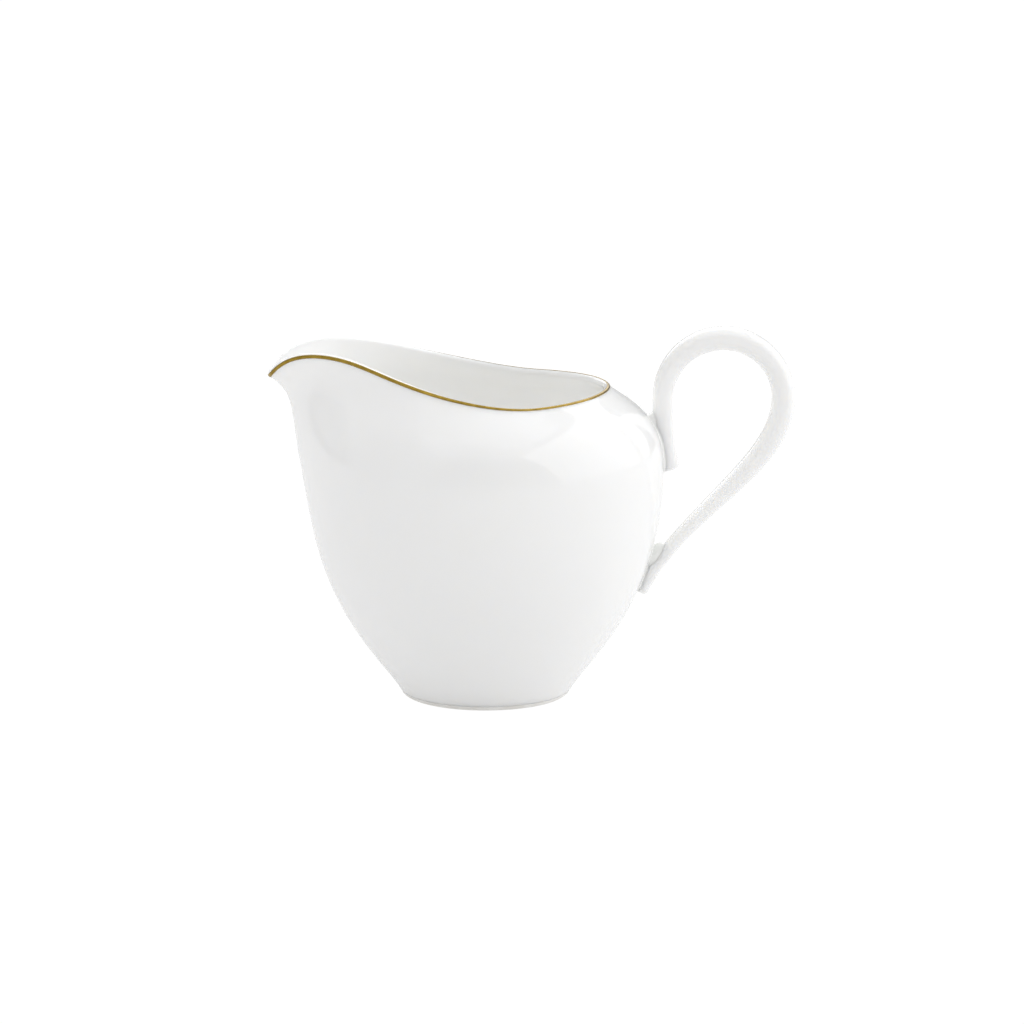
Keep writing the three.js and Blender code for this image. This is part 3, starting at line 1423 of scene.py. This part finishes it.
@dataclass
class Studio:
    """The camera, the lit table, the white backdrop, the soft lights and the world.

    The camera's distance and view width, the radii and the far clip are in metres.
    """

    form: JugForm
    camera_elevation: float = 11.37
    camera_distance: float = 1.0
    view_width: float = 0.24064
    sensor_mm: float = 36.0
    far_clip: float = 100.0
    aim_beside_axis: float = 6.22
    aim_height: float = 43.35
    floor_radius: float = 30.0
    backdrop_radius: float = 4.0
    backdrop_colour: str = "#000000"
    backdrop_glow: float = 1.0
    round_steps: int = 96
    world: str = "#FFFFFF"
    world_strength: float = 0.3
    diffuse_bounces: int = 12
    table_colour: str = "#AFAFAF"
    table_glow: float = 0.4
    boxes: tuple[Softbox, ...] = (
        Softbox("left_window", -64, 31, 66, 60, 14),
        Softbox("left_rear_window", -118, 34, 40, 60, 4),
        Softbox("right_window", 92, 31, 92, 60, 61),
        Softbox("back_window", -168, 38, 56, 56, 34),
        Softbox("overhead", 0, 86, 50, 50, 12),
        Softbox("front_high", 0, 52, 60, 30, 6),
    )

    def aim(self) -> Vector:
        """The point at the middle of the view."""
        return Vector((self.form.axis_x + self.aim_beside_axis, 0, self.aim_height)) * MM

    def build(self) -> None:
        """Sets up the studio."""
        self.make_camera()
        self.make_floor()
        self.make_backdrop()
        for box in self.boxes:
            box.build(self.aim())
        world = bpy.data.worlds.new("studio")
        world.use_nodes = True
        background = world.node_tree.nodes["Background"]
        background.inputs["Color"].default_value = linear(self.world)
        background.inputs["Strength"].default_value = self.world_strength
        bpy.context.scene.world = world
        bpy.context.scene.view_settings.view_transform = "Standard"
        bpy.context.scene.cycles.diffuse_bounces = self.diffuse_bounces

    def make_camera(self) -> None:
        """Stands the camera in front of the jug, a little above it."""
        lift = math.radians(self.camera_elevation)
        back = Vector((0, -math.cos(lift), math.sin(lift)))
        bpy.ops.object.camera_add(location=self.aim() + back * self.camera_distance)
        camera = bpy.context.object
        camera.rotation_euler = (-back).to_track_quat("-Z", "Y").to_euler()
        camera.data.sensor_width = self.sensor_mm
        camera.data.lens = self.sensor_mm * self.camera_distance / self.view_width
        camera.data.clip_end = self.far_clip
        bpy.context.scene.camera = camera

    def make_floor(self) -> None:
        """Lays the table that lights the jug from below, out of the camera's sight."""
        begin_piece()
        bpy.ops.mesh.primitive_circle_add(
            vertices=self.round_steps, radius=self.floor_radius, fill_type="NGON"
        )
        floor = settle(bpy.context.object, "studio_floor")
        floor.visible_camera = False
        table = OpalAcrylic("opal_acrylic_table", self.table_colour, self.table_glow)
        dress(floor, table.make())

    def make_backdrop(self) -> None:
        """Stands the white floor and wall that the camera sees, which light nothing."""
        begin_piece()
        bpy.ops.mesh.primitive_cylinder_add(
            vertices=self.round_steps,
            radius=self.backdrop_radius,
            depth=self.backdrop_radius,
            location=(0, 0, self.backdrop_radius / 2),
        )
        backdrop = settle(bpy.context.object, "white_backdrop")
        for sight in ("diffuse", "glossy", "transmission", "volume_scatter", "shadow"):
            setattr(backdrop, f"visible_{sight}", False)
        lit = OpalAcrylic("lit_white_backdrop", self.backdrop_colour, self.backdrop_glow)
        dress(backdrop, lit.make())


def main() -> None:
    """Builds the jug and its studio."""
    logging.basicConfig(level=logging.INFO, format="%(name)s: %(message)s")
    low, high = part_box("foot_ring")
    form = JugForm(axis_x=(low.x + high.x) / 2 / MM)
    Studio(form).build()
    glaze = GlazedPorcelain("white_glazed_porcelain").make()
    body = JugBody(form).build(glaze)
    FootRing(form).build(GroundBiscuit().make())
    strand = LoopHandle(form).build(glaze)
    # The slip's meshes overlap the body's and the handle's, and light that scatters in overlapping
    # meshes turns the groove between them black, so the slip's own scattering is off.
    slip = GlazedPorcelain(
        "white_glazed_slip", body="#F9F9F8", thick_glaze="#F7F8F6", scatter=0.0
    ).make()
    for end in JointEnd:
        SlipJoint(end, form).build(body, strand, slip)
    GoldLine(form).build(BurnishedGold().make())


if __name__ == "__main__":
    main()
